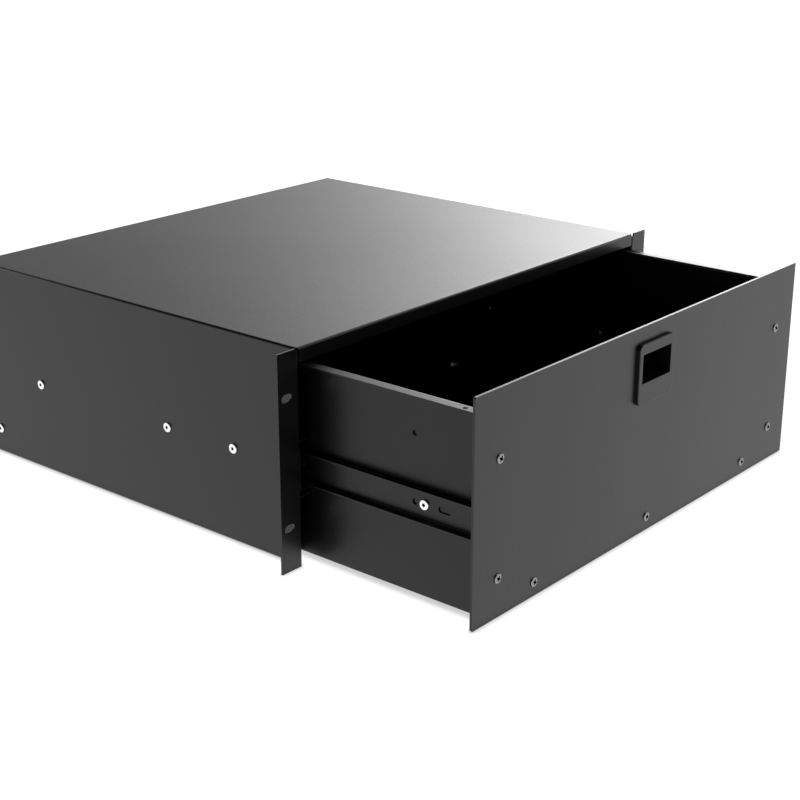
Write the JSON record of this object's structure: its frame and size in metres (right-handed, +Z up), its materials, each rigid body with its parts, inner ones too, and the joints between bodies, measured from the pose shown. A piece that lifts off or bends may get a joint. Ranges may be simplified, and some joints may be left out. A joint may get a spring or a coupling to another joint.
{
  "type": "sliding rack drawer",
  "caption": "Rack drawer for a 19-inch rack: a folded steel case with ears holds a deep tray on ball-bearing slides, behind a plain front with a spring latch in a finger recess.",
  "frame": {"origin": "centre of the four rack slots, on the rear (mounting) face of the two rack ears", "axes": "+Y from the ears towards the back of the rack, +X to the right for a person facing the front, +Z up"},
  "size_m": [0.4826, 0.5393, 0.1713],
  "materials": {
    "powder_coat_chassis": "satin black powder coat with a fine grain",
    "powder_coat_drawer": "satin black powder coat with a fine grain",
    "powder_coat_face": "satin black powder coat with a fine grain",
    "black_slide": "smooth black electro-coat",
    "zinc_screw": "bright zinc plating",
    "black_screw": "black zinc, slightly glossy",
    "zinc_steel": "plain zinc plating",
    "rivet_black": "black painted rivet heads",
    "ball_steel": "polished bearing steel",
    "latch_plastic": "moulded black plastic, fine texture",
    "rubber_black": "soft black rubber"
  },
  "bodies": {
    "chassis": {"chassis_shell": "powder_coat_chassis", "rear_panel": "powder_coat_chassis", "rear_panel_screws": "zinc_screw", "rear_panel_nuts": "zinc_steel", "slide_outer_left": "black_slide", "slide_outer_right": "black_slide", "chassis_slide_screws": "zinc_screw", "slide_rear_bumpers": "rubber_black"},
    "middle_left": {"slide_middle_left": "black_slide"},
    "middle_right": {"slide_middle_right": "black_slide"},
    "outer_cage_left": {"outer_cage_left": "zinc_steel", "outer_balls_left": "ball_steel"},
    "outer_cage_right": {"outer_cage_right": "zinc_steel", "outer_balls_right": "ball_steel"},
    "inner_cage_left": {"inner_cage_left": "zinc_steel", "inner_balls_left": "ball_steel"},
    "inner_cage_right": {"inner_cage_right": "zinc_steel", "inner_balls_right": "ball_steel"},
    "drawer": {"drawer_side_left": "powder_coat_drawer", "drawer_side_right": "powder_coat_drawer", "drawer_floor": "powder_coat_drawer", "drawer_back": "powder_coat_drawer", "drawer_rivets": "rivet_black", "side_hole_blanks": "powder_coat_drawer", "slide_inner_left": "black_slide", "slide_inner_right": "black_slide", "drawer_slide_screws": "zinc_screw", "drawer_slide_nuts": "zinc_steel", "face_panel": "powder_coat_face", "face_screws": "black_screw", "face_nuts": "zinc_steel", "face_bumpers": "rubber_black", "latch_housing": "latch_plastic", "latch_backplate": "zinc_steel", "latch_screws": "black_screw", "latch_pin": "zinc_steel", "latch_spring": "zinc_steel"},
    "latch_lever": {"latch_lever": "latch_plastic"}
  },
  "joints": [
    {"name": "left_middle_slide", "type": "slide", "parent": "chassis", "child": "middle_left", "axis": [0, -1, 0], "range_m": [0, 0.175]},
    {"name": "right_middle_slide", "type": "slide", "parent": "chassis", "child": "middle_right", "axis": [0, -1, 0], "range_m": [0, 0.175]},
    {"name": "drawer_slide", "type": "slide", "parent": "middle_left", "child": "drawer", "axis": [0, -1, 0], "range_m": [-0.1581, 0.0169]},
    {"name": "left_outer_cage_slide", "type": "slide", "parent": "chassis", "child": "outer_cage_left", "axis": [0, -1, 0], "range_m": [0, 0.0875]},
    {"name": "right_outer_cage_slide", "type": "slide", "parent": "chassis", "child": "outer_cage_right", "axis": [0, -1, 0], "range_m": [0, 0.0875]},
    {"name": "left_inner_cage_slide", "type": "slide", "parent": "middle_left", "child": "inner_cage_left", "axis": [0, -1, 0], "range_m": [-0.07905, 0.00845]},
    {"name": "right_inner_cage_slide", "type": "slide", "parent": "middle_right", "child": "inner_cage_right", "axis": [0, -1, 0], "range_m": [-0.07905, 0.00845]},
    {"name": "latch_release", "type": "hinge", "parent": "drawer", "child": "latch_lever", "pos_m": [-0.0014, -0.1448, 0.0712], "axis": [1, 0, 0], "range_deg": [0, 20], "stiffness_Nm_per_rad": 0.02, "springref_deg": -28.65, "deforming": ["latch_spring"]}
  ],
  "couplings": [
    {"joint": "right_middle_slide", "follows": "left_middle_slide", "ratio": 1},
    {"joint": "left_outer_cage_slide", "follows": "left_middle_slide", "ratio": 0.5},
    {"joint": "right_outer_cage_slide", "follows": "left_middle_slide", "ratio": 0.5},
    {"joint": "left_inner_cage_slide", "follows": "drawer_slide", "ratio": 0.5},
    {"joint": "right_inner_cage_slide", "follows": "drawer_slide", "ratio": 0.5}
  ]
}
